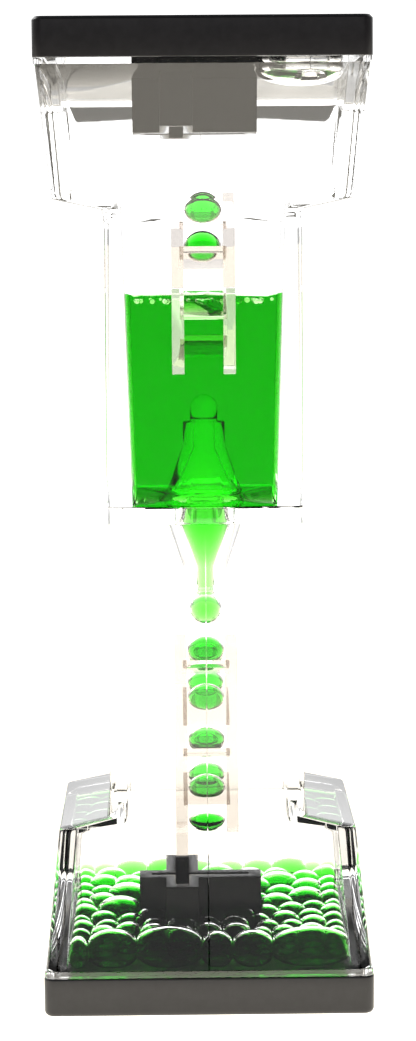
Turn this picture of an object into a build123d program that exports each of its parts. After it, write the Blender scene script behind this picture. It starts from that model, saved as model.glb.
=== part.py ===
"""Liquid motion timer: a clear waisted tower of two chambers that trade dyed water for oil.

Units are millimetres, +Z is up, and the origin is the centre of the face it stands on.
Only the lower half is drawn. The upper half is the lower one turned half a turn about the
X axis at mid height, which is how the two halves of the object are related.
"""

import os
from math import cos, radians, sin, tan

from build123d import *

# Overall size
TOTAL_HEIGHT = 150.0
MID_HEIGHT = TOTAL_HEIGHT / 2
CAP_WIDTH = 50.0
CAP_HEIGHT = 6.0
CAP_CORNER = 1.6
CAP_EDGE = 0.5
CAP_WALL = 1.7
CAP_FLOOR = 2.0
FIT_GAP = 0.1

# End plate inside each cap, with its fill hole
PLATE_THICKNESS = 2.4
FILL_HOLE_RADIUS = 2.5
FILL_HOLE_X = 15.0
FILL_HOLE_Y = 15.0
PLUG_HEAD_RADIUS = 4.0
PLUG_HEAD_THICKNESS = 1.2
PLUG_TIP_RADIUS = 1.9
PLUG_LEAD = 0.6

# Outside of a clear shell
FLANGE_WIDTH = 49.8
FLANGE_HEIGHT = 1.0
FLARE_FOOT = 49.4
FLARE_TOP_Z = 26.9
FLARE_TOP_WIDTH = 45.6
FLARE_TOP_DEPTH = 33.3
SHOULDER_TOP_Z = 28.5
TOWER_WIDTH = 30.0
FOOT_CORNER = 2.6
FLARE_CORNER = 2.2
TOWER_CORNER = 1.3

# Inside of a clear shell
CAVITY_FOOT = 43.2
CAVITY_FLARE_Z = 25.0
CAVITY_FLARE_WIDTH = 40.2
CAVITY_FLARE_DEPTH = 27.6
CAVITY_SHOULDER_Z = 26.4
CAVITY_WIDE = 25.0
CAVITY_NARROW = 22.2
CAVITY_CORNER = 1.2

# Partition and its two nozzles, one to each chamber
PARTITION_THICKNESS = 2.7
NOZZLE_OFFSET = 5.1
SPIGOT_RADIUS = 4.7
CONE_BASE_RADIUS = 5.85
CONE_HEIGHT = 8.0
TIP_RADIUS = 3.2
NOZZLE_HEIGHT = 11.5
INLET_RADIUS = 3.1
BOWL_RADIUS = 3.8
MOUTH_RADIUS = 4.15
BOWL_RISE = 0.4
MOUTH_DROP = 0.1
BORE_CONE_HEIGHT = 7.4
BORE_RADIUS = 1.45

# Cross-shaped pedestal that holds a ladder's leg
PEDESTAL_HEIGHT = 8.6
CROSSBAR_LENGTH = 18.8
CROSSBAR_X = -1.1
CROSSBAR_DEPTH = 4.0
LEGBAR_WIDTH = 5.0
LEGBAR_FRONT = -7.2
LEGBAR_BACK = 10.2
CROSS_SLOT_LENGTH = 15.0
CROSS_SLOT_WIDTH = 0.8
CROSS_SLOT_DEPTH = 3.0
LEG_SLOT_DEPTH = 4.5

# Ladder: two rails with four ramps between them
RAIL_THICKNESS = 1.8
CHANNEL_WIDTH = 6.0
RAIL_NEAR = 21.4
RAIL_FAR = 50.5
RAIL_DEPTH = 21.8
PAD_DEPTH = 22.7
PAD_HEIGHT = 5.0
LEG_FRONT = -5.2
LEG_BACK = 8.9
RAMP_SLOPE = 12.0
RAMP_THICKNESS = 0.9
RAMP_PITCH = 6.9
RAMP_FIRST = 22.8
RAMP_REACH = 10.6
RAMP_END = 4.8
RAMP_COUNT = 4
RAMP_TAB = 0.6

# Dyed water
POOL_LEVEL = 33.7
DOME_RADIUS = 2.1
DOME_HEIGHT = 4.3
PENDANT_RADIUS = 2.35
SLIDING_WIDTH = 5.0
SLIDING_HEIGHT = 3.4
LIQUID_GAP = 0.15
LOWER_DROPS = {1: (-3.0, 3.4), 2: (7.2, -0.2), 3: (-4.2, 2.6), 4: (4.6, -1.8)}
UPPER_DROPS = {4: 7.8, 3: -7.8}
SETTLED_RADIUS = 2.35
SETTLED_PITCH = 4.85
SETTLED_HALF_WIDTH = 18.9
SETTLED_FRONT = -17.5
SETTLED_ROWS = 9
HEAP_FRONT = 4.0
HEAP_BACK = 14.2
HEAP_LIFT = 4.2

RAIL_X = (CHANNEL_WIDTH + RAIL_THICKNESS) / 2
PARTITION_Z = MID_HEIGHT - PARTITION_THICKNESS / 2
SLOPE = tan(radians(RAMP_SLOPE))


def slab(width, depth, low, high, corner=0.0, x=0.0, y=0.0):
    """An upright block between two heights, with rounded upright edges."""
    outline = RectangleRounded(width, depth, corner) if corner else Rectangle(width, depth)
    return extrude(Pos(x, y, low) * outline, high - low)


def tapered(low, high):
    """A straight-sided transition between two (width, depth, corner, z) sections."""
    ends = [Pos(0, 0, z) * RectangleRounded(w, d, r) for w, d, r, z in (low, high)]
    return loft(ends, ruled=True)


def turned(points):
    """A solid turned about the Z axis from an outline of (radius, height) points."""
    outline = make_face(Polyline(*[(r, 0, z) for r, z in points], close=True))
    return revolve(outline, Axis.Z, 360)


def upper(shape):
    """The upper half's copy of a lower-half shape."""
    return shape.rotate(Axis((0, 0, MID_HEIGHT), (1, 0, 0)), 180)


def end_cap():
    """Black cover with a pocket for the end plate."""
    body = slab(CAP_WIDTH, CAP_WIDTH, 0, CAP_HEIGHT, CAP_CORNER)
    body = chamfer(body.faces().sort_by(Axis.Z)[0].edges(), CAP_EDGE)
    pocket_width = CAP_WIDTH - 2 * CAP_WALL
    return body - slab(pocket_width, pocket_width, CAP_FLOOR, CAP_HEIGHT)


def end_plate():
    """Black plate that closes a chamber, with its fill hole and the ladder's pedestal."""
    width = CAP_WIDTH - 2 * CAP_WALL - 2 * FIT_GAP
    plate = slab(width, width, CAP_HEIGHT - PLATE_THICKNESS, CAP_HEIGHT)
    top = CAP_HEIGHT + PEDESTAL_HEIGHT
    crossbar = slab(CROSSBAR_LENGTH, CROSSBAR_DEPTH, CAP_HEIGHT, top, x=CROSSBAR_X)
    length, middle = LEGBAR_BACK - LEGBAR_FRONT, (LEGBAR_BACK + LEGBAR_FRONT) / 2
    legbar = slab(LEGBAR_WIDTH, length, CAP_HEIGHT, top, x=-RAIL_X, y=middle)
    cross_slot = slab(CROSS_SLOT_LENGTH, CROSS_SLOT_WIDTH, top - CROSS_SLOT_DEPTH, top, x=CROSSBAR_X)
    hole = Pos(FILL_HOLE_X, FILL_HOLE_Y, CAP_HEIGHT - PLATE_THICKNESS / 2)
    hole *= Cylinder(FILL_HOLE_RADIUS, 2 * PLATE_THICKNESS)
    return plate + crossbar + legbar - cross_slot - leg(FIT_GAP) - hole


def fill_plug():
    """Stopper in the fill hole, with its head in the space under the plate."""
    head_top = CAP_HEIGHT - PLATE_THICKNESS
    outline = [
        (0, head_top - PLUG_HEAD_THICKNESS),
        (PLUG_HEAD_RADIUS, head_top - PLUG_HEAD_THICKNESS),
        (PLUG_HEAD_RADIUS, head_top),
        (FILL_HOLE_RADIUS, head_top),
        (FILL_HOLE_RADIUS, CAP_HEIGHT - PLUG_LEAD),
        (PLUG_TIP_RADIUS, CAP_HEIGHT),
        (0, CAP_HEIGHT),
    ]
    return Pos(FILL_HOLE_X, FILL_HOLE_Y, 0) * turned(outline)


def cavity(low, high):
    """The space inside a lower shell between two heights of the tower."""
    def width(z):
        share = (z - CAVITY_SHOULDER_Z) / (PARTITION_Z - CAVITY_SHOULDER_Z)
        return CAVITY_WIDE + share * (CAVITY_NARROW - CAVITY_WIDE)
    ends = [(width(z), width(z), CAVITY_CORNER, z) for z in (low, high)]
    return tapered(*ends)


def shell():
    """Clear half body: flange, flared chamber, shoulder and square tower."""
    foot_z = CAP_HEIGHT + FLANGE_HEIGHT
    foot = (FLARE_FOOT, FLARE_FOOT, FOOT_CORNER, foot_z)
    brim = (FLARE_TOP_WIDTH, FLARE_TOP_DEPTH, FLARE_CORNER, FLARE_TOP_Z)
    neck = (TOWER_WIDTH, TOWER_WIDTH, TOWER_CORNER, SHOULDER_TOP_Z)
    body = slab(FLANGE_WIDTH, FLANGE_WIDTH, CAP_HEIGHT, foot_z, CAP_CORNER)
    body += tapered(foot, brim) + tapered(brim, neck)
    body += slab(TOWER_WIDTH, TOWER_WIDTH, SHOULDER_TOP_Z, PARTITION_Z, TOWER_CORNER)
    inner_foot = (CAVITY_FOOT, CAVITY_FOOT, FOOT_CORNER, CAP_HEIGHT)
    inner_brim = (CAVITY_FLARE_WIDTH, CAVITY_FLARE_DEPTH, FLARE_CORNER, CAVITY_FLARE_Z)
    inner_neck = (CAVITY_WIDE, CAVITY_WIDE, CAVITY_CORNER, CAVITY_SHOULDER_Z)
    body -= tapered(inner_foot, inner_brim)
    body -= tapered(inner_brim, inner_neck)
    return body - cavity(CAVITY_SHOULDER_Z, PARTITION_Z)


def nozzle_outline():
    """Outside of the lower nozzle, from its inlet down, as (radius, height)."""
    inlet_z = PARTITION_Z + PARTITION_THICKNESS
    return [
        (SPIGOT_RADIUS, inlet_z),
        (SPIGOT_RADIUS, PARTITION_Z),
        (CONE_BASE_RADIUS, PARTITION_Z),
        (TIP_RADIUS, PARTITION_Z - CONE_HEIGHT),
        (TIP_RADIUS, PARTITION_Z - NOZZLE_HEIGHT),
    ]


def bore_outline():
    """Inside of the lower nozzle, from its inlet down, as (radius, height)."""
    inlet_z = PARTITION_Z + PARTITION_THICKNESS
    return [
        (INLET_RADIUS, inlet_z),
        (BOWL_RADIUS, PARTITION_Z + BOWL_RISE),
        (MOUTH_RADIUS, PARTITION_Z - MOUTH_DROP),
        (BORE_RADIUS, PARTITION_Z - BORE_CONE_HEIGHT),
        (BORE_RADIUS, PARTITION_Z - NOZZLE_HEIGHT),
    ]


def nozzle():
    """Clear funnel pushed into the partition."""
    return Pos(0, -NOZZLE_OFFSET, 0) * turned(nozzle_outline() + bore_outline()[::-1])


def partition():
    """Clear plate between the shells, with a seat for each nozzle's spigot."""
    plate = slab(TOWER_WIDTH, TOWER_WIDTH, PARTITION_Z, PARTITION_Z + PARTITION_THICKNESS, TOWER_CORNER)
    seat = Pos(0, -NOZZLE_OFFSET, MID_HEIGHT) * Cylinder(SPIGOT_RADIUS, PARTITION_THICKNESS)
    return plate - seat - upper(seat)


def ramp_point(number, y):
    """Height of a lower ramp's top face at a given Y. Odd ramps fall towards +Y."""
    fall = (RAMP_REACH + y) if number % 2 else (RAMP_REACH - y)
    return MID_HEIGHT - RAMP_FIRST - RAMP_PITCH * (number - 1) - fall * SLOPE


def ramp(number):
    """Sloping shelf whose ends sit in grooves in the rails."""
    side = 1 if number % 2 else -1
    start, end = -side * RAMP_REACH, side * RAMP_END
    corners = [(start, 0), (end, 0), (end, -RAMP_THICKNESS), (start, -RAMP_THICKNESS)]
    outline = [(0, y, ramp_point(number, y) + drop) for y, drop in corners]
    width = CHANNEL_WIDTH + 2 * RAMP_TAB
    return extrude(make_face(Polyline(*outline, close=True)), width / 2, dir=(1, 0, 0), both=True)


def leg(grow=0.0):
    """Lower end of the left rail, which plugs into the pedestal."""
    low = CAP_HEIGHT + PEDESTAL_HEIGHT - LEG_SLOT_DEPTH
    depth, middle = LEG_BACK - LEG_FRONT + 2 * grow, (LEG_BACK + LEG_FRONT) / 2
    return slab(RAIL_THICKNESS + 2 * grow, depth, low, MID_HEIGHT - RAIL_FAR, x=-RAIL_X, y=middle)


def rail(side):
    """Side plate of a ladder, grooved for the ramps. The left one has the leg."""
    near, far = MID_HEIGHT - RAIL_NEAR, MID_HEIGHT - RAIL_FAR
    plate = slab(RAIL_THICKNESS, RAIL_DEPTH, far, near, x=side * RAIL_X)
    plate += slab(RAIL_THICKNESS, PAD_DEPTH, near - PAD_HEIGHT, near, x=side * RAIL_X)
    if side < 0:
        plate += leg()
    for number in range(1, RAMP_COUNT + 1):
        plate -= ramp(number)
    return plate


def flattened(width, height):
    """A drop pressed flat: a disc with a round rim, about its own centre."""
    rim = height / 2
    flat = width / 2 - rim
    edge = ThreePointArc((flat, 0, rim), (flat + rim, 0, 0), (flat, 0, -rim))
    outline = Polyline((flat, 0, -rim), (0, 0, -rim), (0, 0, rim), (flat, 0, rim))
    return revolve(make_face([edge, outline]), Axis.Z, 360)


def lower_drop(number, y):
    """A drop lying on a lower ramp."""
    tilt = -RAMP_SLOPE if number % 2 else RAMP_SLOPE
    lift = SLIDING_HEIGHT / 2 + LIQUID_GAP
    along = sin(radians(-tilt)) * lift
    place = Pos(0, y + along, ramp_point(number, y) + cos(radians(tilt)) * lift)
    return place * Rot(tilt, 0, 0) * flattened(SLIDING_WIDTH, SLIDING_HEIGHT)


def upper_drop(number, y):
    """A drop caught at the closed end of an upper ramp, at y in the lower half's frame."""
    lift = RAMP_THICKNESS + SLIDING_HEIGHT / 2 + LIQUID_GAP
    tilt = -RAMP_SLOPE if number % 2 else RAMP_SLOPE
    place = Pos(0, y, ramp_point(number, y) - lift / cos(radians(tilt)))
    return upper(place * Rot(tilt, 0, 0) * flattened(SLIDING_WIDTH, SLIDING_HEIGHT))


def pool(upper_solids):
    """Dyed water in the upper chamber, with the column that fills the lower nozzle."""
    body = upper(cavity(MID_HEIGHT - POOL_LEVEL, PARTITION_Z))
    outline = nozzle_outline()
    closed_outline = [*outline, (0, outline[-1][1]), (0, outline[0][1])]
    filled_nozzle = upper(Pos(0, -NOZZLE_OFFSET, 0) * turned(closed_outline))
    tip_z = MID_HEIGHT + PARTITION_THICKNESS / 2 + NOZZLE_HEIGHT
    neck_height = DOME_HEIGHT - DOME_RADIUS
    dome = Pos(0, NOZZLE_OFFSET, tip_z + neck_height / 2) * Cylinder(DOME_RADIUS, neck_height)
    dome += Pos(0, NOZZLE_OFFSET, tip_z + neck_height) * Sphere(DOME_RADIUS)
    body = body - filled_nozzle - dome
    for solid in upper_solids:
        body -= solid
    bore = bore_outline()
    column = turned([(0, bore[0][1]), *bore, (0, bore[-1][1])])
    return body + Pos(0, -NOZZLE_OFFSET, 0) * column


def clear_of_pedestal(x, y):
    """Whether a settled drop at a place in plan keeps clear of the pedestal."""
    half_length, half_depth, half_width = CROSSBAR_LENGTH / 2, CROSSBAR_DEPTH / 2, LEGBAR_WIDTH / 2
    bars = [
        (CROSSBAR_X - half_length, CROSSBAR_X + half_length, -half_depth, half_depth),
        (-RAIL_X - half_width, -RAIL_X + half_width, LEGBAR_FRONT, LEGBAR_BACK),
    ]
    near = [(max(a - x, 0, x - b), max(c - y, 0, y - d)) for a, b, c, d in bars]
    return min(dx * dx + dy * dy for dx, dy in near) > (SETTLED_RADIUS + LIQUID_GAP) ** 2


def settled_drops():
    """Drops resting on the lower end plate in staggered rows, two deep towards the back."""
    row_pitch = SETTLED_PITCH * sin(radians(60))
    columns = int(2 * SETTLED_HALF_WIDTH / SETTLED_PITCH) + 1
    z = CAP_HEIGHT + LIQUID_GAP + SETTLED_RADIUS
    places = []
    for row in range(SETTLED_ROWS):
        y = SETTLED_FRONT + row * row_pitch
        for column in range(columns - row % 2):
            x = (column - (columns - 1 - row % 2) / 2) * SETTLED_PITCH
            places.append((x, y, z))
            over_x, over_y = x + SETTLED_PITCH / 2, y + row_pitch / 3
            if HEAP_FRONT < over_y < HEAP_BACK and over_x < SETTLED_HALF_WIDTH - SETTLED_RADIUS / 2:
                places.append((over_x, over_y, z + HEAP_LIFT))
    clear = [place for place in places if clear_of_pedestal(place[0], place[1])]
    return Compound([Pos(*place) * Sphere(SETTLED_RADIUS) for place in clear])


def main():
    os.makedirs("parts", exist_ok=True)
    lower = {
        "cap": end_cap(),
        "end_plate": end_plate(),
        "fill_plug": fill_plug(),
        "shell": shell(),
        "nozzle": nozzle(),
        "ladder_left_rail": rail(-1),
        "ladder_right_rail": rail(1),
    }
    for number in range(1, RAMP_COUNT + 1):
        lower[f"ladder_ramp_{number}"] = ramp(number)
    parts = {"partition": partition()}
    for name, shape in lower.items():
        parts["lower_" + name] = shape
        parts["upper_" + name] = upper(shape)
    in_pool = [shape for name, shape in parts.items() if name.startswith("upper_ladder")]
    parts["green_pool"] = pool(in_pool)
    tip_z = PARTITION_Z - NOZZLE_HEIGHT
    drop_z = tip_z - LIQUID_GAP - PENDANT_RADIUS
    parts["hanging_drop"] = Pos(0, -NOZZLE_OFFSET, drop_z) * Sphere(PENDANT_RADIUS)
    for number, places in LOWER_DROPS.items():
        for letter, y in zip("ab", places):
            parts[f"lower_ramp_{number}_drop_{letter}"] = lower_drop(number, y)
    for number, y in UPPER_DROPS.items():
        parts[f"upper_ramp_{number}_drop"] = upper_drop(number, y)
    parts["settled_drops"] = settled_drops()
    for name, shape in parts.items():
        export_step(shape, f"parts/{name}.step")


main()
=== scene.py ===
from math import cos, pi, radians, sin

import bmesh
import bpy
import numpy as np
from mathutils import Matrix, Vector
from mathutils.noise import noise as snoise


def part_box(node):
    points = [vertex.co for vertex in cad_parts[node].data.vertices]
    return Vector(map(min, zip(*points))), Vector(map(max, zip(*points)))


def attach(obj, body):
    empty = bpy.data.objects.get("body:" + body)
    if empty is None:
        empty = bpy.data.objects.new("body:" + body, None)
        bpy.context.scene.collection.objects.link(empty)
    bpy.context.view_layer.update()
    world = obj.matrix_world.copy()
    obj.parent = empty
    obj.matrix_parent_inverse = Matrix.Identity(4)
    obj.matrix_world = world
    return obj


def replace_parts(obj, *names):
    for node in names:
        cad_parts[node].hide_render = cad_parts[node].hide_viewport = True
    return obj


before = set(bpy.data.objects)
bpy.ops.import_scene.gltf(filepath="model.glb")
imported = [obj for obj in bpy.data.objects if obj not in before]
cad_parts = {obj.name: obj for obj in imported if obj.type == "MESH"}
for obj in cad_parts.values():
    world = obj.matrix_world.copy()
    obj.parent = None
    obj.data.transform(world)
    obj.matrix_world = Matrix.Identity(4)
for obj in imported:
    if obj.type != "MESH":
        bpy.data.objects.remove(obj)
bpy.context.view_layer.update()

# Sizes are in millimetres here and become metres when a mesh is made.
MM = 0.001
HOUSING = "housing"


def box_mm(node):
    """Lowest and highest corner of a CAD node, in millimetres."""
    low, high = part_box(node)
    return Vector(low) / MM, Vector(high) / MM


# Places read from the frame
CAP_TOP = box_mm("lower_cap")[1].z
TOTAL = box_mm("upper_cap")[1].z
MID = TOTAL / 2
PARTITION_LOW = box_mm("partition")[0].z
PARTITION_HIGH = box_mm("partition")[1].z
TOWER = box_mm("partition")[1].x * 2
NOZZLE_LOW, NOZZLE_HIGH = box_mm("lower_nozzle")
NOZZLE_Y = (NOZZLE_LOW.y + NOZZLE_HIGH.y) / 2
TIP_Z = NOZZLE_LOW.z
POOL_TOP = box_mm("green_pool")[1].z
POOL_LOW = TOTAL - TIP_Z

# Clear shell: (width, depth, corner radius, height) of each section from the cap up
FLANGE = (49.8, 49.8, 1.6)
FLANGE_TOP = CAP_TOP + 1.0
SHELL_TOP = PARTITION_LOW - 0.02
OUTER = [
    (49.4, 49.4, 2.6, FLANGE_TOP),
    (45.6, 33.3, 2.2, 26.9),
    (TOWER + 0.4, 31.9, 1.5, 28.5),
    (TOWER, TOWER + 0.3, 1.4, 31.0),
    (TOWER, TOWER, 1.4, 34.0),
    (TOWER, TOWER, 1.4, SHELL_TOP),
]
INNER = [
    (43.2, 43.2, 2.4, CAP_TOP),
    (40.2, 27.6, 1.8, 25.0),
    (25.1, 26.4, 1.2, 26.4),
    (24.87, 24.87, 1.2, 28.6),
    (22.2, 22.2, 1.2, SHELL_TOP),
]
EASE = 0.7
CORNER_STEPS = 8
BORE_CORNER = 1.2

# Fine ridge that the mould leaves down the middle of the front wall
KNIT_HALF_WIDTH = 0.12
KNIT_MARGIN = 0.05
KNIT_HEIGHT = 0.05

# Nozzles, as radii and heights from the partition
SPIGOT_RADIUS = 4.7
SPIGOT_LEDGE = 0.3
THROAT_RADIUS = 3.2
THROAT_HEIGHT = 8.0
DOME_RADIUS = 2.1
DOME_LIFT = 2.2

# Bore of the lower nozzle, as (radius, height) from the partition's top and from its underside
BORE_FROM_TOP = (3.1, 0.5), (3.1, 0.0)
BORE_FROM_UNDERSIDE = (3.8, 0.4), (4.15, -0.1), (1.45, -7.4)
BORE_TIP_RADIUS = 1.45

# Air left in the glued joint
FILM_INSET = 0.5
FILM_DEPTH = 0.3
FILM_THICKNESS = 0.05
FILM_HOLE_RADIUS = 5.0

# Gaps that keep faces of two clear materials apart
OIL_FILM = 0.04
SKIN = 0.03

# Indices of refraction, each over that of the oil where oil is the other side
OIL = 1.45
PLASTIC = 1.54
OIL_PLASTIC = PLASTIC / OIL
OIL_WATER = 1.333 / OIL
OIL_AIR = 1 / OIL

# Drops, as (width, depth, height)
RAMP_SLOPE = radians(12)
LOWER_DROP = (5.7, 5.3)
LOWER_DROP_HEIGHTS = {"a": 3.7, "b": 4.1}
FIRST_DROP_HEIGHT = 4.5
RESTING_HEIGHT = 3.5
UPPER_DROP = (5.75, 5.9, 5.2)
UPPER_DROP_LIFT = 0.7
FALLING_DROP_PLACE = (0, -1.0, 23.6)
FALLING_DROP = (5.6, 5.2, 3.3)
HANGING_DROP = (4.9, 4.9, 4.8)
AIR_BUBBLE_PLACE = (14.6, -13.4)
AIR_BUBBLE = (13.4, 12.3, 4.6)

# Bubbles of oil caught under the pool's surface
BUBBLES = 40
BUBBLE_RADII = (0.25, 0.65)
BUBBLE_INSET = 1.2
BUBBLE_BAND = 2.5
BUBBLE_SINK = 0.55
BUBBLE_HEIGHT = 1.7
LADDER_HALF_WIDTH = 5.4


# ---------------------------------------------------------------- materials


# Noise scales, in features per metre
PATCH_SCALE = 500
WAVE_SCALE = 180
COLOUR_SCALE = 900
GLOSS_SCALE = 260
GRAIN_SCALE = 6000

# Where nearly all of the noise lies
NOISE_LOW, NOISE_HIGH = 0.15, 0.85


def blank_material(name):
    """An empty material with its nodes, its links and its output."""
    material = bpy.data.materials.new(name)
    material.use_nodes = True
    nodes = material.node_tree.nodes
    nodes.clear()
    output = nodes.new("ShaderNodeOutputMaterial")
    return material, nodes, material.node_tree.links, output


def noise(nodes, links, scale, detail=2.0, stretch=(1, 1, 1)):
    """Noise over the object's own space. Scale is features per metre."""
    place = nodes.new("ShaderNodeTexCoord")
    mapping = nodes.new("ShaderNodeMapping")
    mapping.inputs["Scale"].default_value = stretch
    texture = nodes.new("ShaderNodeTexNoise")
    texture.inputs["Scale"].default_value = scale
    texture.inputs["Detail"].default_value = detail
    links.new(place.outputs["Object"], mapping.inputs["Vector"])
    links.new(mapping.outputs["Vector"], texture.inputs["Vector"])
    return texture.outputs["Fac"]


def bump(nodes, links, height, depth_mm):
    """A normal for relief of this depth."""
    node = nodes.new("ShaderNodeBump")
    node.inputs["Strength"].default_value = 1.0
    node.inputs["Distance"].default_value = depth_mm * MM
    links.new(height, node.inputs["Height"])
    return node.outputs["Normal"]


def spread(nodes, links, value, low, high):
    """A noise value stretched to a range."""
    node = nodes.new("ShaderNodeMapRange")
    node.inputs["From Min"].default_value = NOISE_LOW
    node.inputs["From Max"].default_value = NOISE_HIGH
    node.inputs["To Min"].default_value = low
    node.inputs["To Max"].default_value = high
    links.new(value, node.inputs["Value"])
    return node.outputs["Result"]


def clear_plastic(name, ior, tint=(1, 1, 1), rough=(0.0, 0.02), wave_mm=0.004, stretch=(1, 1, 1)):
    """Polished clear moulding, with the faint waviness of a moulded face."""
    material, nodes, links, output = blank_material(name)
    shader = nodes.new("ShaderNodeBsdfPrincipled")
    shader.inputs["Base Color"].default_value = (*tint, 1)
    shader.inputs["Transmission Weight"].default_value = 1.0
    shader.inputs["IOR"].default_value = ior
    patches = noise(nodes, links, PATCH_SCALE)
    links.new(spread(nodes, links, patches, *rough), shader.inputs["Roughness"])
    wave = noise(nodes, links, WAVE_SCALE, 1.0, stretch)
    links.new(bump(nodes, links, wave, wave_mm), shader.inputs["Normal"])
    links.new(shader.outputs["BSDF"], output.inputs["Surface"])
    return material


def black_plastic(name, dark, light, rough, grain_mm, ior):
    """Black moulding with fine grain, patchy gloss and light handling marks."""
    material, nodes, links, output = blank_material(name)
    shader = nodes.new("ShaderNodeBsdfPrincipled")
    ramp = nodes.new("ShaderNodeValToRGB")
    ramp.color_ramp.elements[0].color = (*dark, 1)
    ramp.color_ramp.elements[1].color = (*light, 1)
    links.new(noise(nodes, links, COLOUR_SCALE, 4.0), ramp.inputs["Fac"])
    links.new(ramp.outputs["Color"], shader.inputs["Base Color"])
    gloss = noise(nodes, links, GLOSS_SCALE, 3.0)
    links.new(spread(nodes, links, gloss, *rough), shader.inputs["Roughness"])
    shader.inputs["IOR"].default_value = ior
    grain = noise(nodes, links, GRAIN_SCALE, 2.0)
    links.new(bump(nodes, links, grain, grain_mm), shader.inputs["Normal"])
    links.new(shader.outputs["BSDF"], output.inputs["Surface"])
    return material


def liquid(name, ior, absorb=None, density=0.0):
    """A liquid or gas met from the oil. Absorb is the colour that it lets through."""
    material, nodes, links, output = blank_material(name)
    shader = nodes.new("ShaderNodeBsdfGlass")
    shader.inputs["Roughness"].default_value = 0.0
    shader.inputs["IOR"].default_value = ior
    links.new(shader.outputs["BSDF"], output.inputs["Surface"])
    if absorb:
        volume = nodes.new("ShaderNodeVolumeAbsorption")
        volume.inputs["Color"].default_value = (*absorb, 1)
        volume.inputs["Density"].default_value = density
        links.new(volume.outputs["Volume"], output.inputs["Volume"])
    return material


CLEAR = clear_plastic("clear_plastic_in_air", PLASTIC, wave_mm=0.0006)
WETTED = clear_plastic("clear_plastic_in_oil", OIL_PLASTIC, stretch=(1, 1, 0.25))
LADDER = clear_plastic("ladder_plastic", 1.015, (0.67, 0.63, 0.6), (0.0, 0.06), 0.008)
CAP_COLOURS = (0.008, 0.008, 0.0095), (0.0165, 0.016, 0.0185)
CAP = black_plastic("cap_plastic", *CAP_COLOURS, (0.27, 0.31), 0.003, 1.42)
PLATE_COLOURS = (0.004, 0.004, 0.004), (0.008, 0.008, 0.008)
PLATE = black_plastic("inner_black_plastic", *PLATE_COLOURS, (0.06, 0.12), 0.0004, 1.12)
GREEN = liquid("green_water", OIL_WATER, (0.2, 0.9, 0.0), 520)
DROP = liquid("green_water_in_drops", OIL_WATER, (0.1, 0.9, 0.0), 950)
AIR = liquid("air_in_oil", OIL_AIR)
FILM = liquid("air_in_plastic", 1 / PLASTIC)


# ---------------------------------------------------------------- mesh helpers


def turned_over(point):
    """The upper half's copy of a point of the lower half."""
    x, y, z = point
    return x, -y, TOTAL - z


def make_piece(
    name, points, faces, materials, body=HOUSING, indices=None, upper=False, sharp=35
):
    """A mesh piece from points in millimetres, with smooth shading below an angle."""
    if upper:
        points = [turned_over(p) for p in points]
    mesh = bpy.data.meshes.new(name)
    mesh.from_pydata([Vector(p) * MM for p in points], [], faces)
    for material in materials:
        mesh.materials.append(material)
    if indices:
        mesh.polygons.foreach_set("material_index", indices)
    return finish_piece(name, mesh, body, sharp)


def finish_piece(name, mesh, body=HOUSING, sharp=35):
    """A piece from a mesh in metres, with smooth shading below an angle, on its body."""
    grown = bmesh.new()
    grown.from_mesh(mesh)
    bmesh.ops.remove_doubles(grown, verts=grown.verts, dist=1e-7)
    bmesh.ops.recalc_face_normals(grown, faces=grown.faces)
    grown.to_mesh(mesh)
    grown.free()
    mesh.polygons.foreach_set("use_smooth", [True] * len(mesh.polygons))
    mesh.set_sharp_from_angle(angle=radians(sharp))
    piece = bpy.data.objects.new(name, mesh)
    bpy.context.scene.collection.objects.link(piece)
    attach(piece, body)
    return piece


def replica(node, materials, pick=None, bevel=0.0, adjust=None):
    """A finished copy of a CAD node: clean faces, softened edges and its own materials."""
    grown = bmesh.new()
    grown.from_mesh(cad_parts[node].data)
    bmesh.ops.remove_doubles(grown, verts=grown.verts, dist=1e-6)
    bmesh.ops.dissolve_limit(
        grown, angle_limit=radians(0.5), verts=grown.verts, edges=grown.edges
    )
    if adjust:
        for vertex in grown.verts:
            vertex.co = adjust(vertex.co / MM) * MM
    mesh = bpy.data.meshes.new(node + "_finished")
    grown.to_mesh(mesh)
    grown.free()
    mesh.materials.clear()
    for material in materials:
        mesh.materials.append(material)
    mesh.polygons.foreach_set("material_index", [0] * len(mesh.polygons))
    if bevel:
        mesh = modified(mesh, lambda m: soften(m, bevel))
    if pick:
        mesh.polygons.foreach_set("material_index", [pick(p.center / MM) for p in mesh.polygons])
    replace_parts(finish_piece(node + "_finished", mesh), node)


def soften(holder, width):
    """Rounded edges of this width in millimetres."""
    modifier = holder.modifiers.new("soften", "BEVEL")
    modifier.width = width * MM
    modifier.segments = 3
    modifier.limit_method = "ANGLE"
    modifier.angle_limit = radians(40)
    modifier.use_clamp_overlap = True


def modified(mesh, change):
    """The mesh after the modifiers that a function adds."""
    holder = bpy.data.objects.new("holder", mesh)
    bpy.context.scene.collection.objects.link(holder)
    change(holder)
    graph = bpy.context.evaluated_depsgraph_get()
    result = bpy.data.meshes.new_from_object(holder.evaluated_get(graph), depsgraph=graph)
    bpy.data.objects.remove(holder)
    return result


def combine(mesh, others, operation):
    """A boolean of one mesh with several closed meshes."""
    cutters = []
    for other in others:
        cutter = bpy.data.objects.new("cutter", other)
        bpy.context.scene.collection.objects.link(cutter)
        cutters.append(cutter)

    def add(holder):
        for cutter in cutters:
            modifier = holder.modifiers.new("cut", "BOOLEAN")
            modifier.solver = "EXACT"
            modifier.operation = operation
            modifier.object = cutter

    result = modified(mesh, add)
    for cutter in cutters:
        bpy.data.objects.remove(cutter)
    return result


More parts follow.
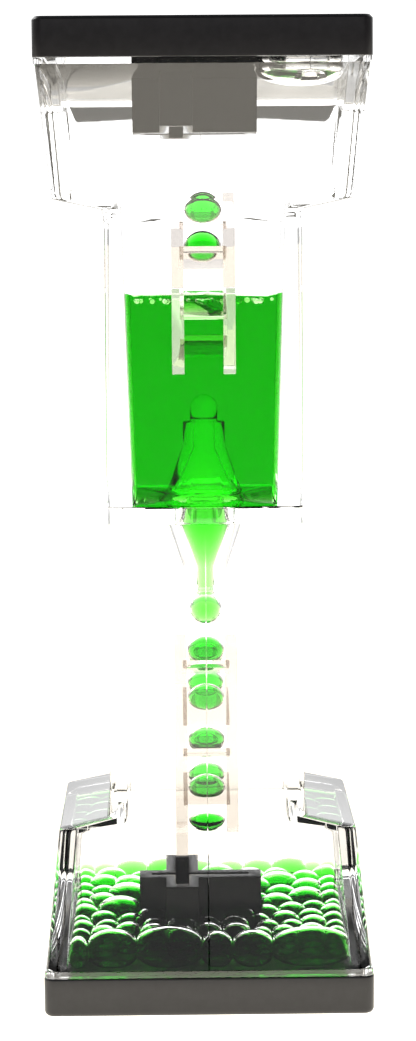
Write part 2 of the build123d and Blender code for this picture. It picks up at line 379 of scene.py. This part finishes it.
def closed_mesh(points, faces):
    """A closed mesh of triangles in metres, for a boolean."""
    mesh = bpy.data.meshes.new("solid")
    mesh.from_pydata([Vector(p) * MM for p in points], [], faces)
    grown = bmesh.new()
    grown.from_mesh(mesh)
    bmesh.ops.remove_doubles(grown, verts=grown.verts, dist=1e-8)
    bmesh.ops.triangulate(grown, faces=grown.faces)
    bmesh.ops.recalc_face_normals(grown, faces=grown.faces)
    grown.to_mesh(mesh)
    grown.free()
    return mesh


def rounded_ring(width, depth, radius, z, knit=0.0):
    """Points round a rounded rectangle, with an optional fine ridge on the front face."""
    points = []
    for quarter, (sx, sy) in enumerate(((1, 1), (-1, 1), (-1, -1), (1, -1))):
        for step in range(CORNER_STEPS + 1):
            angle = (quarter + step / CORNER_STEPS) * pi / 2
            x = sx * (width / 2 - radius) + radius * cos(angle)
            y = sy * (depth / 2 - radius) + radius * sin(angle)
            points.append((x, y, z))
        if quarter == 2:
            near, far = KNIT_HALF_WIDTH, KNIT_HALF_WIDTH + KNIT_MARGIN
            for x, proud in ((-far, 0), (-near, 0), (0, knit), (near, 0), (far, 0)):
                points.append((x, -depth / 2 - proud, z))
    return points


def eased(sections, reach=EASE, steps=4):
    """Sections with each interior one replaced by a short curve between its neighbours."""
    rows = [np.array(section, float) for section in sections]
    result = [rows[0]]
    for before, here, after in zip(rows, rows[1:], rows[2:]):
        start = here + (before - here) * min(0.45, reach / np.abs(before - here).max())
        end = here + (after - here) * min(0.45, reach / np.abs(after - here).max())
        for step in range(steps + 1):
            t = step / steps
            result.append((1 - t) ** 2 * start + 2 * t * (1 - t) * here + t * t * end)
    return [tuple(row) for row in result] + [tuple(rows[-1])]


def skin(rings, closed=False):
    """Quads between rings of equal length."""
    count = len(rings[0])
    points = [p for ring in rings for p in ring]
    faces = []
    total = len(rings)
    for row in range(total if closed else total - 1):
        low, high = row * count, (row + 1) % total * count
        for i in range(count):
            j = (i + 1) % count
            faces.append((low + i, low + j, high + j, high + i))
    return points, faces


def lathe(outline, y=0.0, steps=48):
    """A closed turned mesh about a vertical axis from (radius, height) points."""
    turns = [(cos(2 * pi * s / steps), sin(2 * pi * s / steps)) for s in range(steps)]
    rings = [[(r * c, y + r * d, z) for c, d in turns] for r, z in outline]
    points, faces = skin(rings)
    count = len(points)
    faces.append(tuple(range(steps)))
    faces.append(tuple(range(count - steps, count)))
    return points, faces


# ---------------------------------------------------------------- clear shells


def shell(name, upper):
    """A clear half body: flange, flared chamber, shoulder and tower, with its cavity."""
    flange = [(*FLANGE, CAP_TOP), (*FLANGE, FLANGE_TOP)]
    outer = flange + eased(OUTER)
    inner = eased(INNER)[::-1]
    rings = [rounded_ring(*section, knit=KNIT_HEIGHT) for section in outer]
    rings += [rounded_ring(*section) for section in inner]
    points, faces = skin(rings, closed=True)
    count = len(rings[0])
    first_inner, last_inner = len(outer) * count, (len(rings) - 1) * count
    indices = [int(first_inner <= i < last_inner) for i in range(len(faces))]
    return make_piece(
        name, points, faces, [CLEAR, WETTED], indices=indices, upper=upper
    )


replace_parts(shell("lower_clear_shell", False), "lower_shell")
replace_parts(shell("upper_clear_shell", True), "upper_shell")


def is_inner(centre):
    """1 for a face of the partition that oil touches, 0 for one in the open air."""
    reach = max(abs(centre.x), abs(centre.y))
    return int(reach < TOWER / 2 - 0.6)


def eased_spigot(point):
    """A nozzle's point moved so that a film of oil parts it from the partition."""
    x, y, z = point
    middle = NOZZLE_Y if z < MID - 3 or abs(y - NOZZLE_Y) < abs(y + NOZZLE_Y) else -NOZZLE_Y
    radius = Vector((x, y - middle)).length
    if PARTITION_LOW - 0.01 < z < PARTITION_HIGH + 0.01:
        if radius > SPIGOT_RADIUS + SPIGOT_LEDGE:
            z += -OIL_FILM if z < MID else OIL_FILM
        elif radius > SPIGOT_RADIUS - 0.05:
            share = (radius - OIL_FILM) / radius
            x, y = x * share, middle + (y - middle) * share
    return Vector((x, y, z))


def joint_film():
    """Film of air left in the glued joint over the partition, round the two nozzles."""
    width = TOWER - FILM_INSET
    top = PARTITION_HIGH - FILM_DEPTH
    levels = (top - FILM_THICKNESS, top)
    points, faces = skin([rounded_ring(width, width, BORE_CORNER, z) for z in levels])
    count = len(points) // 2
    faces += [tuple(range(count)), tuple(range(count, 2 * count))]
    hole = [(FILM_HOLE_RADIUS, top - 1), (FILM_HOLE_RADIUS, top + 1)]
    holes = [closed_mesh(*lathe(hole, y)) for y in (NOZZLE_Y, -NOZZLE_Y)]
    film = combine(closed_mesh(points, faces), holes, "DIFFERENCE")
    film.materials.clear()
    film.materials.append(FILM)
    film.polygons.foreach_set("material_index", [0] * len(film.polygons))
    finish_piece("joint_air_film", film)


def oil_fit(node):
    """An adjustment that leaves a thin film of oil all round a piece."""
    low, high = box_mm(node)
    centre = (low + high) / 2
    shrink = Vector([1 - 2 * OIL_FILM / size for size in high - low])
    return lambda point: centre + (point - centre) * shrink


joint_film()
replica("partition", [CLEAR, WETTED], pick=is_inner, bevel=0.12)
for half in ("lower", "upper"):
    replica(half + "_nozzle", [WETTED], adjust=eased_spigot)
    for part in ("left_rail", "right_rail"):
        replica(f"{half}_ladder_{part}", [LADDER], bevel=0.15)
    for number in range(1, 5):
        ramp = f"{half}_ladder_ramp_{number}"
        replica(ramp, [LADDER], bevel=0.12, adjust=oil_fit(ramp))
    replica(half + "_cap", [CAP], bevel=0.35)
    replica(half + "_end_plate", [PLATE], bevel=0.12)
    replica(half + "_fill_plug", [PLATE], bevel=0.1)


# ---------------------------------------------------------------- green liquid


def inner_width(z):
    """Inside width of the tower at a height of either half."""
    low = min(z, TOTAL - z)
    foot, head = INNER[-2:]
    share = (low - foot[3]) / (head[3] - foot[3])
    return foot[0] + share * (head[0] - foot[0])


def blob(centre, size, tilt=0.0, sag=0.0, planes=(), rows=20, columns=36):
    """A drop of liquid: an ellipsoid pressed flat against the planes that it touches."""
    points = [(0, 0, -1)]
    for row in range(1, rows):
        a = pi * row / rows
        for column in range(columns):
            turn = 2 * pi * column / columns
            points.append((sin(a) * cos(turn), sin(a) * sin(turn), -cos(a)))
    points.append((0, 0, 1))
    shape = np.array(points)
    shape[:, :2] *= 1 - sag * shape[:, 2:3]
    shape *= np.array(size) / 2
    rotation = np.array(Matrix.Rotation(tilt, 3, "X"))
    shape = shape @ rotation.T + np.array(centre)
    for origin, normal in planes:
        beyond = (shape - np.array(origin)) @ np.array(normal)
        shape -= np.clip(beyond, 0, None)[:, None] * np.array(normal)
    faces = [(0, 1 + (c + 1) % columns, 1 + c) for c in range(columns)]
    for row in range(rows - 2):
        low, high = 1 + row * columns, 1 + (row + 1) * columns
        for c in range(columns):
            d = (c + 1) % columns
            faces.append((low + c, low + d, high + d, high + c))
    top = len(shape) - 1
    low = top - columns
    faces += [(low + c, low + (c + 1) % columns, top) for c in range(columns)]
    return [tuple(p) for p in shape], faces


def ripple(x, y, inward):
    """How far the pool's wavy surface dips at a place, in millimetres."""
    swell = snoise(Vector((x * 0.55, y * 0.55, 3.0)))
    wave = swell + 0.5 * snoise(Vector((x * 1.3, y * 1.3, 8.0)))
    return min(1.0, inward * 8) * (0.35 - 0.3 * wave)


def pool_bubbles(level):
    """Small bubbles of oil caught under the pool's surface, along its front and back."""
    rng = np.random.default_rng(11)
    half = inner_width(level) / 2 - BUBBLE_INSET
    bubbles = []
    for _ in range(BUBBLES):
        radius = rng.uniform(*BUBBLE_RADII)
        x = rng.uniform(-half, half)
        y = rng.choice([-1, -1, 1]) * (half - rng.uniform(0, BUBBLE_BAND))
        if abs(x) < LADDER_HALF_WIDTH:
            y = -half + rng.uniform(0, 0.3)
        z = level - BUBBLE_SINK - radius * rng.uniform(1.05, 1.6)
        size = (2 * radius, 2 * radius, BUBBLE_HEIGHT * radius)
        bubbles.append(blob((x, y, z), size, rows=10, columns=16))
    return bubbles


def pool_body():
    """The water as if nothing stood in it, from the partition to its wavy surface."""
    rings = []
    low, high = PARTITION_HIGH + SKIN, POOL_TOP
    for step in range(9):
        z = low + (high - low) * step / 8
        width = inner_width(z) - 2 * SKIN
        rings.append(rounded_ring(width, width, BORE_CORNER, z))
    rim = rings[-1]
    for step in range(1, 24):
        share = 1 - step / 24
        shrunk = [(x * share, y * share) for x, y, _ in rim]
        rings.append([(x, y, high - ripple(x, y, 1 - share)) for x, y in shrunk])
    points, faces = skin(rings)
    count = len(rim)
    faces.append(tuple(range(count)))
    faces.append(tuple(range(len(points) - count, len(points))))
    return closed_mesh(points, faces)


def upper_nozzle_space():
    """The space that the upper nozzle and the dome of oil on its tip take in the water."""
    foot = (NOZZLE_HIGH.x - NOZZLE_LOW.x) / 2
    outline = [
        (foot, PARTITION_HIGH - 0.5),
        (foot, PARTITION_HIGH),
        (THROAT_RADIUS, PARTITION_HIGH + THROAT_HEIGHT),
        (THROAT_RADIUS, POOL_LOW),
    ]
    outline = [(radius + SKIN, z) for radius, z in outline]
    outline.append((DOME_RADIUS, POOL_LOW + SKIN))
    centre = POOL_LOW + DOME_LIFT
    for a in np.linspace(0, pi / 2 - 0.05, 10):
        outline.append((DOME_RADIUS * cos(a), centre + DOME_RADIUS * sin(a)))
    return closed_mesh(*lathe(outline, -NOZZLE_Y))


def nozzle_column():
    """The column of water that fills the lower nozzle."""
    bore = [(radius, PARTITION_HIGH + z) for radius, z in BORE_FROM_TOP]
    bore += [(radius, PARTITION_LOW + z) for radius, z in BORE_FROM_UNDERSIDE]
    bore.append((BORE_TIP_RADIUS, TIP_Z))
    return closed_mesh(*lathe([(radius - SKIN, z) for radius, z in bore], NOZZLE_Y))


def pool():
    """Green water in the upper chamber, cut round what stands in it."""
    body = pool_body()
    cutters = [closed_mesh(*bubble) for bubble in pool_bubbles(POOL_TOP)]
    for side in ("left", "right"):
        cutters.append(block(*box_mm(f"upper_ladder_{side}_rail"), SKIN))
    for number in range(1, 5):
        cutters.append(grown_copy(f"upper_ladder_ramp_{number}", SKIN))
    cutters.append(upper_nozzle_space())
    body = combine(body, cutters, "DIFFERENCE")
    body = combine(body, [nozzle_column()], "UNION")
    body.materials.clear()
    body.materials.append(GREEN)
    body.polygons.foreach_set("material_index", [0] * len(body.polygons))
    piece = finish_piece("green_pool_liquid", body, sharp=30)
    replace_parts(piece, "green_pool")


def block(low, high, grow):
    """A closed box between two corners, larger by a skin on every side."""
    spans = [(a - grow, b + grow) for a, b in zip(low, high)]
    points = [(x, y, z) for x in spans[0] for y in spans[1] for z in spans[2]]
    faces = [(0, 1, 3, 2), (4, 6, 7, 5), (0, 4, 5, 1), (2, 3, 7, 6), (0, 2, 6, 4), (1, 5, 7, 3)]
    return closed_mesh(points, faces)


def grown_copy(node, grow):
    """A CAD node's mesh, larger by a skin on every side."""
    source = bmesh.new()
    source.from_mesh(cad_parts[node].data)
    bmesh.ops.remove_doubles(source, verts=source.verts, dist=1e-6)
    low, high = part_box(node)
    centre = (Vector(low) + Vector(high)) / 2
    size = Vector(high) - Vector(low)
    scale = Vector([(s + 2 * grow * MM) / s for s in size])
    for vertex in source.verts:
        offset = vertex.co - centre
        vertex.co = centre + Vector([a * b for a, b in zip(offset, scale)])
    mesh = bpy.data.meshes.new("grown")
    source.to_mesh(mesh)
    source.free()
    return mesh


pool()


def drop_on_ramp(node, body, size, number, lift):
    """A drop that lies along its ramp. The ramps slope one way and the other in turn."""
    low, high = box_mm(node)
    centre = (low + high) / 2 + Vector((0, 0, lift))
    tilt = -RAMP_SLOPE if number % 2 else RAMP_SLOPE
    points, faces = blob(centre, size, tilt, 0.06)
    piece = make_piece(node + "_liquid", points, faces, [DROP], body)
    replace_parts(piece, node)


def drops():
    """The drops on both ladders, the one that falls and the one that hangs."""
    for number in range(1, 5):
        for letter in "ab":
            height = FIRST_DROP_HEIGHT if number == 1 else LOWER_DROP_HEIGHTS[letter]
            lift = (height - RESTING_HEIGHT) / 2
            node = f"lower_ramp_{number}_drop_{letter}"
            body = f"lower_ramp_{number}_drops"
            drop_on_ramp(node, body, (*LOWER_DROP, height), number, lift)
    for number in (3, 4):
        drop_on_ramp(f"upper_ramp_{number}_drop", HOUSING, UPPER_DROP, number, UPPER_DROP_LIFT)
    points, faces = blob(FALLING_DROP_PLACE, FALLING_DROP)
    make_piece("falling_drop_liquid", points, faces, [DROP])
    low, high = box_mm("hanging_drop")
    points, faces = blob((low + high) / 2, HANGING_DROP, 0.0, 0.03)
    piece = make_piece(
        "hanging_drop_liquid", points, faces, [GREEN], "hanging_drop"
    )
    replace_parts(piece, "hanging_drop")


drops()


# Row of large drops against the front wall, as (width, height), and the line behind it
FRONT_ROW = ((3.1, 4.2), (7.4, 5.3), (9.9, 5.7), (4.7, 4.9), (6.1, 5.0), (11.7, 5.4))
FRONT_ROW_BACK = -15.6
FRONT_ROW_DEPTH = 7.4
SETTLED_DROPS = 84
SETTLED_ROUNDS = 400
SETTLED_RADII = (2.0, 2.7)
SETTLED_HEIGHT = 4.4
SETTLED_RADIUS = 2.3
HEIGHT_PER_RADIUS = 0.9

# How much larger the drops behind a line are, and the largest radius near the side walls
BACK_LINE = 4
BACK_EXTRA = (0.2, 1.3)
SIDE_LINE = 15
SIDE_RADIUS = 2.4

# How closely the drops pack, and the part of an overlap that one round takes away
PACKING = 0.93
STEP_SHARE = 0.35

# Plan of the pedestal on the end plate: half length and half width of its cross, and the leg's bar
CROSS_X = -1.1
CROSS_HALF = (9.4, 2.0)
LEG_HALF_WIDTH = 2.5
LEG_Y = (-7.2, 10.2)


def pedestal_bars(margin):
    """Plan rectangles that the settled drops keep clear of."""
    rail_low, rail_high = box_mm("lower_ladder_left_rail")
    rail_x = (rail_low.x + rail_high.x) / 2
    reach_x, reach_y = (half + margin for half in CROSS_HALF)
    reach = LEG_HALF_WIDTH + margin
    cross = (CROSS_X - reach_x, CROSS_X + reach_x, -reach_y, reach_y)
    leg = (rail_x - reach, rail_x + reach, LEG_Y[0] - margin, LEG_Y[1] + margin)
    return cross, leg


def push_from_bar(centres, radii, bar):
    """The step that takes each drop some of the way clear of one bar of the pedestal."""
    x0, x1, y0, y1 = bar
    nearest = np.stack([np.clip(centres[:, 0], x0, x1), np.clip(centres[:, 1], y0, y1)], 1)
    away = centres - nearest
    length = np.linalg.norm(away, axis=1)
    inside = length < 1e-6
    side = np.sign(centres[inside, 1] - (y0 + y1) / 2 + 1e-3)
    away[inside] = np.stack([np.zeros(inside.sum()), side], 1)
    push = np.clip(radii * 0.9 - length, 0, None)
    reach = np.maximum(np.linalg.norm(away, axis=1), 1e-6)
    return away / reach[:, None] * push[:, None] * 0.5


def settled_places(count, half, front):
    """Centres and radii of drops that jostle into place on the plate, large ones at the back."""
    rng = np.random.default_rng(7)
    centres = np.stack([rng.uniform(-half, half, count), rng.uniform(front, half, count)], 1)
    radii = rng.uniform(*SETTLED_RADII, count)
    radii += np.where(centres[:, 1] > BACK_LINE, rng.uniform(*BACK_EXTRA, count), 0)
    beside_wall = np.abs(centres[:, 0]) > SIDE_LINE
    radii = np.where(beside_wall, np.minimum(radii, SIDE_RADIUS), radii)
    low = np.array([-half, front])
    for _ in range(SETTLED_ROUNDS):
        gap = centres[:, None] - centres[None]
        distance = np.linalg.norm(gap, axis=2) + np.eye(count) * 99
        overlap = np.clip((radii[:, None] + radii[None]) * PACKING - distance, 0, None)
        centres += (gap / distance[:, :, None] * overlap[:, :, None]).sum(1) * STEP_SHARE
        for bar in pedestal_bars(0.0):
            centres += push_from_bar(centres, radii, bar)
        margin = radii[:, None] * 0.86
        centres = np.clip(centres, low + margin, half - margin)
    return centres, radii


def wall_planes(half, base):
    """The plate's top and the four inner walls that settled drops press against."""
    planes = [((0, 0, base), (0, 0, -1))]
    for axis, slope in ((0, 0.08), (1, 0.41)):
        for side in (-1, 1):
            origin, normal = np.array([0.0, 0.0, base]), np.zeros(3)
            origin[axis] = side * half
            normal[axis], normal[2] = side, slope
            planes.append((origin, normal / np.hypot(1, slope)))
    return planes


def neighbour_planes(number, centres, radii):
    """Planes where a settled drop presses against the drops beside it."""
    centre, radius = centres[number], radii[number]
    planes = []
    for other_number, (other, other_radius) in enumerate(zip(centres, radii)):
        apart = other - centre
        distance = np.linalg.norm(apart)
        if number != other_number and distance < radius + other_radius + 1.2:
            share = radius / (radius + other_radius)
            middle = centre + apart * share
            normal = np.array([*(apart / distance), 0.0])
            planes.append(((*middle, 0) - normal * 0.05, normal))
    return planes


def pedestal_planes(centre, radius):
    """Planes where a settled drop presses against the pedestal."""
    planes = []
    for x0, x1, y0, y1 in pedestal_bars(0.12):
        dx = max(x0 - centre[0], 0, centre[0] - x1)
        dy = max(y0 - centre[1], 0, centre[1] - y1)
        if max(dx, dy) >= radius + 1:
            continue
        if dx > dy:
            side = 1 if centre[0] < x0 else -1
            planes.append(((x0 if side > 0 else x1, 0, 0), (side, 0, 0)))
        else:
            side = 1 if centre[1] < y0 else -1
            planes.append(((0, y0 if side > 0 else y1, 0), (0, side, 0)))
    return planes


def jostled_drops(half, walls, base):
    """The drops behind the front row, each pressed flat against what it touches."""
    front = FRONT_ROW_BACK + 0.1
    centres, radii = settled_places(SETTLED_DROPS, half, front)
    for number, (centre, radius) in enumerate(zip(centres, radii)):
        height = SETTLED_HEIGHT + HEIGHT_PER_RADIUS * (radius - SETTLED_RADIUS)
        planes = [*walls, ((0, front, 0), (0, -1, 0))]
        planes += neighbour_planes(number, centres, radii)
        planes += pedestal_planes(centre, radius)
        size = (radius * 2.3, radius * 2.3, height * 1.16)
        yield blob((*centre, base + height * 0.42), size, planes=planes, rows=18, columns=30)


def front_row(half, walls, base):
    """The large drops side by side against the front wall."""
    edge = -half
    for width, height in FRONT_ROW:
        left, right = edge + 0.06, edge + width - 0.06
        middle = ((left + right) / 2, FRONT_ROW_BACK - 2.8, base + height * 0.46)
        planes = [
            *walls,
            ((left, 0, 0), (-1, 0, 0)),
            ((right, 0, 0), (1, 0, 0)),
            ((0, FRONT_ROW_BACK, 0), (0, 1, 0)),
        ]
        size = (width * 1.16, FRONT_ROW_DEPTH, height * 1.12)
        yield blob(middle, size, planes=planes, rows=24, columns=48)
        edge += width


def settled_drops():
    """Every drop that has settled on the lower end plate, as one piece."""
    half = INNER[0][0] / 2 - 0.15
    base = CAP_TOP + 0.06
    walls = wall_planes(half, base)
    points, faces = [], []
    for drop in (*jostled_drops(half, walls, base), *front_row(half, walls, base)):
        offset = len(points)
        points.extend(drop[0])
        faces.extend(tuple(k + offset for k in face) for face in drop[1])
    piece = make_piece("settled_drops_liquid", points, faces, [GREEN], sharp=60)
    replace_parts(piece, "settled_drops")


settled_drops()


def air_bubble():
    """Bubble of air under the upper end plate, in the front right corner."""
    ceiling = TOTAL - CAP_TOP - 0.03
    planes = [((0, 0, ceiling), (0, 0, 1))]
    place = (*AIR_BUBBLE_PLACE, ceiling - 0.5)
    points, faces = blob(place, AIR_BUBBLE, planes=planes, rows=32, columns=64)
    make_piece("air_bubble", points, faces, [AIR], sharp=40)


air_bubble()


# ---------------------------------------------------------------- studio


# Brightness of the white sheet behind the object by direction: along Y, across X and up Z.
# Its upper edge is sharp, with a dark gap above it, and it is dimmer to the sides and in front.
DEPTH_LEVELS = (-1, 0.45), (-0.3, 0.35), (0.3, 0.4), (0.6, 1.3), (1, 1.3)
WIDTH_LEVELS = (0, 1.0), (0.28, 1.0), (0.45, 0.4), (1, 0.9)
HEIGHT_LEVELS = (-1, 1.0), (0.1, 1.0), (0.2, 2.0), (0.75, 1.8), (1, 0.9)
GAP_LOW = (0.4006, 1.0), (0.4012, 0.03)
GAP_HIGH = (0.412, 0.0), (0.42, 1.0)

# Painted light on the floor: how strongly it glows by place in metres, along Y and across X,
# brightest just in front of the object as a painted pool of lamp light
FLOOR_PAINTED_LIGHT_LEVELS = (-0.7, 0.3), (-0.38, 0.3), (-0.26, 3.0), (-0.06, 3.6), (0.02, 1.3), (0.7, 1.3)
FLOOR_PAINTED_LIGHT_SIDE_LEVELS = (0, 1.0), (0.28, 1.0), (0.5, 0.5), (1, 0.5)
FLOOR_REACH = 3.0
FLOOR_GREY = 0.3
# Colour of the floor's painted light glow
FLOOR_PAINTED_LIGHT_COLOUR = (1, 0.94, 0.82, 1)

# Camera, in metres, degrees and millimetres of a 36 mm film
EYE = (-0.0041, -0.4282, 0.1304)
PITCH, YAW, ROLL = radians(5.64), radians(0.64), radians(0.42)
LENS = 94.76
SHIFT_Y = -0.0965


def calculate(nodes, links, operation, *values):
    """The result of a Math node on sockets or plain numbers."""
    node = nodes.new("ShaderNodeMath")
    node.operation = operation
    for socket, value in zip(node.inputs, values):
        if isinstance(value, float):
            socket.default_value = value
        else:
            links.new(value, socket)
    return node.outputs["Value"]


def profile(nodes, links, value, levels):
    """A value that follows straight lines between (position, level) pairs."""
    low, high = levels[0][0], levels[-1][0]
    peak = max(level for _, level in levels)
    span = nodes.new("ShaderNodeMapRange")
    span.inputs["From Min"].default_value = low
    span.inputs["From Max"].default_value = high
    links.new(value, span.inputs["Value"])
    node = nodes.new("ShaderNodeValToRGB")
    ramp = node.color_ramp
    ramp.elements[0].color = (*[levels[0][1] / peak] * 3, 1)
    ramp.elements[1].color = (*[levels[-1][1] / peak] * 3, 1)
    for position, level in levels[1:-1]:
        element = ramp.elements.new((position - low) / (high - low))
        element.color = (*[level / peak] * 3, 1)
    links.new(span.outputs["Result"], node.inputs["Fac"])
    return calculate(nodes, links, "MULTIPLY", node.outputs["Color"], peak)


def window(nodes, links, value, edge):
    """A value that goes straight from one level to another between two positions."""
    (low, start), (high, end) = edge
    node = nodes.new("ShaderNodeMapRange")
    node.inputs["From Min"].default_value = low
    node.inputs["From Max"].default_value = high
    node.inputs["To Min"].default_value = start
    node.inputs["To Max"].default_value = end
    links.new(value, node.inputs["Value"])
    return node.outputs["Result"]


def coordinates(nodes, links, kind):
    """The X, Y and Z of a texture coordinate."""
    place = nodes.new("ShaderNodeTexCoord")
    axes = nodes.new("ShaderNodeSeparateXYZ")
    links.new(place.outputs[kind], axes.inputs["Vector"])
    return axes.outputs["X"], axes.outputs["Y"], axes.outputs["Z"]


def world_light():
    """White sheet behind the object, by direction."""
    world = bpy.data.worlds.new("studio")
    world.use_nodes = True
    nodes, links = world.node_tree.nodes, world.node_tree.links
    nodes.clear()
    output = nodes.new("ShaderNodeOutputWorld")
    background = nodes.new("ShaderNodeBackground")
    background.inputs["Color"].default_value = (1, 1, 1, 1)
    x, y, z = coordinates(nodes, links, "Generated")
    strength = profile(nodes, links, y, DEPTH_LEVELS)
    width = profile(nodes, links, calculate(nodes, links, "ABSOLUTE", x), WIDTH_LEVELS)
    height = profile(nodes, links, z, HEIGHT_LEVELS)
    edges = [window(nodes, links, z, edge) for edge in (GAP_LOW, GAP_HIGH)]
    gap = calculate(nodes, links, "MAXIMUM", *edges)
    for factor in (width, height, gap):
        strength = calculate(nodes, links, "MULTIPLY", strength, factor)
    links.new(strength, background.inputs["Strength"])
    links.new(background.outputs["Background"], output.inputs["Surface"])
    bpy.context.scene.world = world


def painted_light_floor_material():
    """Pale floor that glows with painted light, brightest just in front of the object."""
    material, nodes, links, output = blank_material("studio_floor")
    shader = nodes.new("ShaderNodeBsdfPrincipled")
    shader.inputs["Base Color"].default_value = (FLOOR_GREY, FLOOR_GREY, FLOOR_GREY, 1)
    shader.inputs["Roughness"].default_value = 0.7
    # The floor's emission is painted light: a pool of light that glows brightest in front of the
    # object
    shader.inputs["Emission Color"].default_value = FLOOR_PAINTED_LIGHT_COLOUR
    x, y, _ = coordinates(nodes, links, "Object")
    along = profile(nodes, links, y, FLOOR_PAINTED_LIGHT_LEVELS)
    across = profile(nodes, links, calculate(nodes, links, "ABSOLUTE", x), FLOOR_PAINTED_LIGHT_SIDE_LEVELS)
    painted_light_glow = calculate(nodes, links, "MULTIPLY", along, across)
    links.new(painted_light_glow, shader.inputs["Emission Strength"])
    links.new(shader.outputs["BSDF"], output.inputs["Surface"])
    return material


def floor():
    """The surface that the object stands on."""
    mesh = bpy.data.meshes.new("studio_floor")
    r = FLOOR_REACH
    mesh.from_pydata([(-r, -r, 0), (r, -r, 0), (r, r, 0), (-r, r, 0)], [], [(0, 1, 2, 3)])
    mesh.materials.append(painted_light_floor_material())
    piece = bpy.data.objects.new("studio_floor", mesh)
    bpy.context.scene.collection.objects.link(piece)


def softbox():
    """Soft lamp above, to the left and behind."""
    light = bpy.data.lights.new("softbox", "AREA")
    light.shape = "RECTANGLE"
    light.size, light.size_y = 0.9, 0.6
    light.energy = 6
    lamp = bpy.data.objects.new("softbox", light)
    lamp.location = (-0.8, 0.5, 0.8)
    aim = Vector((0, 0, 0.07)) - lamp.location
    lamp.rotation_euler = aim.to_track_quat("-Z", "Y").to_euler()
    bpy.context.scene.collection.objects.link(lamp)


def exposure():
    """Plain view of the scene's colours, with enough bounces for clear pieces in oil."""
    scene = bpy.context.scene
    scene.view_settings.view_transform = "Standard"
    scene.view_settings.use_curve_mapping = True
    scene.view_settings.curve_mapping.black_level = (0.014, 0.014, 0.014)
    scene.view_settings.curve_mapping.update()
    scene.cycles.max_bounces = 24
    scene.cycles.transmission_bounces = 24
    scene.cycles.glossy_bounces = 8


def camera():
    """Viewing angle of the picture: from the front, a little above the top."""
    forward = Vector((sin(YAW) * cos(PITCH), cos(YAW) * cos(PITCH), -sin(PITCH)))
    right = Vector((cos(YAW), -sin(YAW), 0))
    up = right.cross(forward)
    turned_right = right * cos(ROLL) - up * sin(ROLL)
    turned_up = right * sin(ROLL) + up * cos(ROLL)
    data = bpy.data.cameras.new("camera")
    data.sensor_width = 36.0
    data.lens = LENS
    data.shift_y = SHIFT_Y
    data.clip_start = 0.01
    data.clip_end = 20
    eye = bpy.data.objects.new("camera", data)
    turn = Matrix((turned_right, turned_up, -forward)).transposed().to_4x4()
    eye.matrix_world = Matrix.Translation(Vector(EYE)) @ turn
    bpy.context.scene.collection.objects.link(eye)
    bpy.context.scene.camera = eye


world_light()
floor()
softbox()
exposure()
camera()
